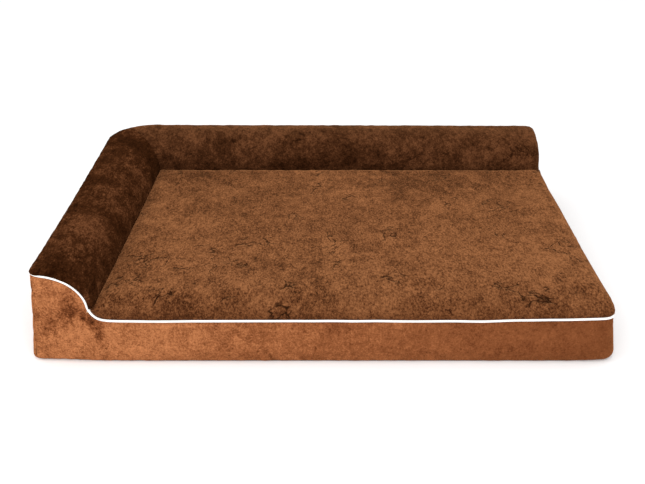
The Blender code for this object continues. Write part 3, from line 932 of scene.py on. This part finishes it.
worn = texture(nodes, join, point, "ShaderNodeTexNoise", Scale=12, Detail=4)
both = blend(nodes, join, threads.outputs["Fac"], worn.outputs["Fac"], 0.5)
tint(nodes, join, shader, both, ((0.38, (0.045, 0.023, 0.014)), (0.62, (0.10, 0.055, 0.036))))
shader.inputs["Roughness"].default_value = 0.85
bump(nodes, join, shader, ((threads.outputs["Fac"], 0.0004, 0.6),))
sheet_mesh.materials.append(woven_dark)
underside = bpy.data.objects.new("underside_sheet", sheet_mesh)
bpy.context.scene.collection.objects.link(underside)
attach(underside, "bed")
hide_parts("bottom_panel")

dots_bm = bmesh.new()
columns = int((right - left - 2 * dot_margin) / dot_pitch)
rows = int((back - front - 2 * dot_margin) / dot_pitch)
bend = back_left[0]
for row in range(rows + 1):
    for column in range(columns + 1):
        x = left + dot_margin + (column + 0.5 * (row % 2)) * dot_pitch
        y = front + dot_margin + row * dot_pitch
        past_bend = (Vector((x, y)) - bend).length > corner_roll - dot_margin
        if x > right - dot_margin or (x < bend.x and y > bend.y and past_bend):
            continue
        bmesh.ops.create_cone(
            dots_bm, segments=8, radius1=0.0016, radius2=0.0028, depth=dot_height, cap_ends=True,
            matrix=Matrix.Translation((x, y, dot_height / 2)),
        )
dots_mesh = bpy.data.meshes.new("underside_dots")
dots_bm.to_mesh(dots_mesh)
dots_bm.free()
rubber, shader, nodes, join = new_material("rubber_dots")
point = object_point(nodes, join)
tone = texture(nodes, join, point, "ShaderNodeTexNoise", Scale=90, Detail=2)
blacks = ((0.35, (0.006, 0.005, 0.0045)), (0.65, (0.018, 0.015, 0.013)))
tint(nodes, join, shader, tone.outputs["Fac"], blacks)
shader.inputs["Roughness"].default_value = 0.55
bump(nodes, join, shader, ((tone.outputs["Fac"], 0.0005, 0.3),))
dots_mesh.materials.append(rubber)
dots = bpy.data.objects.new("underside_dots", dots_mesh)
bpy.context.scene.collection.objects.link(dots)
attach(dots, "bed")


# Zip tapes. Two brown woven ribbons sewn behind the edges of the opening, with a raised cord beside the
# teeth. Each is as long as the zip and runs from its teeth to well behind the cloth.
def add_block(bm, low, high):
    """A block between two corners, added to a mesh. It gives back the block's points."""
    low, high = Vector(low), Vector(high)
    matrix = Matrix.Translation((low + high) / 2) @ Matrix.Diagonal(high - low).to_4x4()
    return bmesh.ops.create_cube(bm, size=1, matrix=matrix)["verts"]


def round_edges(bm, edges, radius, segments):
    bmesh.ops.bevel(
        bm, geom=edges, offset=radius, segments=segments, profile=0.5, affect="EDGES", material=-1
    )


def edges_of(verts):
    """Every edge that ends at one of these points, each once and in a settled order."""
    return list(dict.fromkeys(edge for vert in verts for edge in vert.link_edges))


def zip_piece(name, node, body, bm, surface):
    bmesh.ops.recalc_face_normals(bm, faces=bm.faces)
    mesh = bpy.data.meshes.new(name)
    bm.to_mesh(mesh)
    bm.free()
    mesh.shade_smooth()
    mesh.set_sharp_from_angle(angle=math.radians(40))
    mesh.materials.append(surface)
    piece = bpy.data.objects.new(name, mesh)
    bpy.context.scene.collection.objects.link(piece)
    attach(piece, body)
    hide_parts(node)


tape_cloth, shader, nodes, join = new_material("zip_tape")
point = object_point(nodes, join)
ribs = texture(nodes, join, point, "ShaderNodeTexWave", Scale=160, Distortion=0.6, Detail=1)
tone = texture(nodes, join, point, "ShaderNodeTexNoise", Scale=120, Detail=3)
both = blend(nodes, join, ribs.outputs["Fac"], tone.outputs["Fac"], 0.3)
tint(nodes, join, shader, both, ((0.3, (0.035, 0.014, 0.007)), (0.75, (0.10, 0.045, 0.022))))
shader.inputs["Roughness"].default_value = 0.8
bump(nodes, join, shader, ((ribs.outputs["Fac"], 0.0003, 0.6),))
tape_gap = 0.0006
cord_radius = 0.0007
chain_y = (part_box("zip_tape_upper")[0].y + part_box("zip_tape_upper")[1].y) / 2
for name, side in (("upper", 1), ("lower", -1)):
    low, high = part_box(f"zip_tape_{name}")
    near = low.z if side > 0 else high.z
    if side > 0:
        low.z = zip_height + tape_gap
    else:
        high.z = zip_height - tape_gap
    tape_bm = bmesh.new()
    ribbon_edges = edges_of(add_block(tape_bm, low, high))
    long_edges = [edge for edge in ribbon_edges if edge.calc_length() > 0.9 * (high.x - low.x)]
    bmesh.ops.subdivide_edges(tape_bm, edges=long_edges, cuts=80)
    cord_middle = Vector(((low.x + high.x) / 2, chain_y + 0.0002, near + side * 0.0011))
    bmesh.ops.create_cone(
        tape_bm, segments=10, radius1=cord_radius, radius2=cord_radius, depth=high.x - low.x - 0.001,
        cap_ends=True, matrix=Matrix.Translation(cord_middle) @ Matrix.Rotation(math.pi / 2, 4, "Y"),
    )
    zip_piece(f"zip_ribbon_{name}", f"zip_tape_{name}", "bed", tape_bm, tape_cloth)


# Zip teeth. Moulded brown nylon, one row along each tape's edge, each tooth a rounded block whose head
# sits between two of the other row's. A pair of metal stops ends the rows.
tooth_pitch = 0.0024
tooth_width = 0.0012
tooth_overlap = 0.0010
nylon, shader, nodes, join = new_material("zip_nylon")
point = object_point(nodes, join)
tone = texture(nodes, join, point, "ShaderNodeTexNoise", Scale=300, Detail=2)
tint(nodes, join, shader, tone.outputs["Fac"], ((0.3, (0.045, 0.02, 0.010)), (0.7, (0.085, 0.04, 0.021))))
shader.inputs["Roughness"].default_value = 0.38
bump(nodes, join, shader, ((tone.outputs["Fac"], 0.0002, 0.2),))
for name, side in (("upper", 1), ("lower", -1)):
    low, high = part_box(f"zip_teeth_{name}")
    teeth_bm = bmesh.new()
    inner, outer = (low.z, high.z) if side > 0 else (high.z, low.z)
    head = inner - side * tooth_overlap
    count = int((high.x - low.x - tooth_pitch) / tooth_pitch)
    for number in range(count):
        x = low.x + tooth_pitch * (number + (0.75 if side > 0 else 0.25) + 0.15)
        tooth_low = (x - tooth_width / 2, low.y, min(outer, head))
        tooth_high = (x + tooth_width / 2, high.y, max(outer, head))
        round_edges(teeth_bm, edges_of(add_block(teeth_bm, tooth_low, tooth_high)), 0.00028, 1)
    zip_piece(f"zip_row_{name}", f"zip_teeth_{name}", "bed", teeth_bm, nylon)

dull_metal, shader, nodes, join = new_material("zip_metal")
point = object_point(nodes, join)
scuffs = texture(nodes, join, point, "ShaderNodeTexNoise", Scale=420, Detail=4, Distortion=0.4)
tint(nodes, join, shader, scuffs.outputs["Fac"], ((0.3, (0.30, 0.26, 0.21)), (0.7, (0.52, 0.46, 0.38))))
shader.inputs["Metallic"].default_value = 1
shader.inputs["Roughness"].default_value = 0.32
bump(nodes, join, shader, ((scuffs.outputs["Fac"], 0.0002, 0.25),))
for name in ("open", "closed"):
    low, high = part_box(f"zip_stop_{name}")
    stop_bm = bmesh.new()
    round_edges(stop_bm, edges_of(add_block(stop_bm, low, high)), 0.0006, 3)
    zip_piece(f"zip_end_{name}", f"zip_stop_{name}", "bed", stop_bm, dull_metal)


# Slider. A cast metal body of two plates joined by a post, narrower towards the closed teeth, with an
# arched bridge on its outer plate. It rides along the chain and carries the pull.
low, high = slider_low, slider_high
middle = (low + high) / 2
plate = 0.001
narrowing = 0.72
plate_rounding = 0.0022
bridge_reach = 0.0031
bridge_radius = 0.0005
outer_face = 2 * chain_y - low.y
bridge_foot = outer_face - 0.0003
slider_bm = bmesh.new()
for plate_low, plate_high in ((low.y, low.y + plate), (outer_face - plate, outer_face)):
    plate_verts = add_block(slider_bm, (low.x, plate_low, low.z), (high.x, plate_high, high.z))
    for vert in plate_verts:
        if vert.co.x < middle.x:
            vert.co.z = middle.z + (vert.co.z - middle.z) * narrowing
    upright = [
        edge for edge in edges_of(plate_verts)
        if abs(edge.verts[0].co.y - edge.verts[1].co.y) > plate / 2
    ]
    round_edges(slider_bm, upright, plate_rounding, 4)
add_block(
    slider_bm,
    (middle.x - 0.001, low.y + plate / 2, middle.z - 0.0003),
    (middle.x + 0.001, outer_face - plate / 2, middle.z + 0.0003),
)
before = set(slider_bm.verts)
arch_start = Matrix.Translation((middle.x + bridge_reach, bridge_foot, middle.z))
arch = bmesh.ops.create_circle(
    slider_bm, segments=10, radius=bridge_radius, cap_ends=False,
    matrix=arch_start @ Matrix.Rotation(math.pi / 2, 4, "X"),
)
bmesh.ops.scale(
    slider_bm, vec=(1, 1, 1.9), verts=arch["verts"], space=Matrix.Translation((0, 0, -middle.z))
)
bmesh.ops.spin(
    slider_bm, geom=edges_of(arch["verts"]) + arch["verts"],
    cent=(middle.x, bridge_foot, middle.z), axis=(0, 0, 1), angle=math.pi, steps=14,
)
flattening = (high.y - bridge_radius - bridge_foot) / bridge_reach
for vert in set(slider_bm.verts) - before:
    over = vert.co.y - bridge_foot
    if over > 0:
        vert.co.y = bridge_foot + over * flattening
zip_piece("zip_slider_body", "zip_slider", "slider", slider_bm, dull_metal)


# Pull. A flat metal tab on a loop that turns round the slider's bridge, with a slot near its end for a
# finger or a cord. Its edges are rounded, and it hangs on the slider.
low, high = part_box("zip_pull")
middle = (low + high) / 2
half_width, half_thick = (high.z - low.z) / 2, (high.y - low.y) / 2
loop_start = low.x
tab_start = loop_start + 0.0078
slot_start, slot_end, slot_share = 0.5, 0.83, 0.5
tab_rounding = 0.0022
pull_bm = bmesh.new()
tab = bmesh.ops.create_grid(pull_bm, x_segments=6, y_segments=4, size=1)
for vert in tab["verts"]:
    x = tab_start + (vert.co.x + 1) / 2 * (high.x - tab_start)
    vert.co = (x, middle.y - half_thick, middle.z + vert.co.y * half_width)
slot_faces = []
for face in pull_bm.faces:
    centre = face.calc_center_median()
    along = (centre.x - tab_start) / (high.x - tab_start)
    if abs(centre.z - middle.z) < half_width * slot_share and slot_start < along < slot_end:
        slot_faces.append(face)
bmesh.ops.delete(pull_bm, geom=slot_faces, context="FACES_ONLY")
grown = bmesh.ops.extrude_face_region(pull_bm, geom=pull_bm.faces[:])
raised = [item for item in grown["geom"] if isinstance(item, bmesh.types.BMVert)]
bmesh.ops.translate(pull_bm, verts=raised, vec=(0, 2 * half_thick, 0))


def on_tab_corner(edge):
    """Whether this is one of the four upright edges at the tab's corners."""
    start, end = (vert.co for vert in edge.verts)
    if abs(start.y - end.y) < half_thick or abs(abs(start.z - middle.z) - half_width) > 1e-6:
        return False
    return min(abs(start.x - tab_start), abs(start.x - high.x)) < 1e-6


corners = [edge for edge in pull_bm.edges if on_tab_corner(edge)]
round_edges(pull_bm, corners, tab_rounding, 5)
arm = 0.0014
bar_half = 0.0027
bar_thick = half_thick * 0.98
for (low_x, low_z), (high_x, high_z) in (
    ((loop_start, -bar_half), (loop_start + 2 * half_thick, bar_half)),
    ((loop_start + half_thick, bar_half - arm), (tab_start + 0.001, bar_half)),
    ((loop_start + half_thick, -bar_half), (tab_start + 0.001, -bar_half + arm)),
):
    bar_verts = add_block(
        pull_bm,
        (low_x, middle.y - bar_thick, middle.z + low_z),
        (high_x, middle.y + bar_thick, middle.z + high_z),
    )
    round_edges(pull_bm, edges_of(bar_verts), 0.0003, 2)
zip_piece("zip_pull_tab", "zip_pull", "pull", pull_bm, dull_metal)


# Size. The finished bed's box, from every shown object but the floor.
low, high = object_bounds()
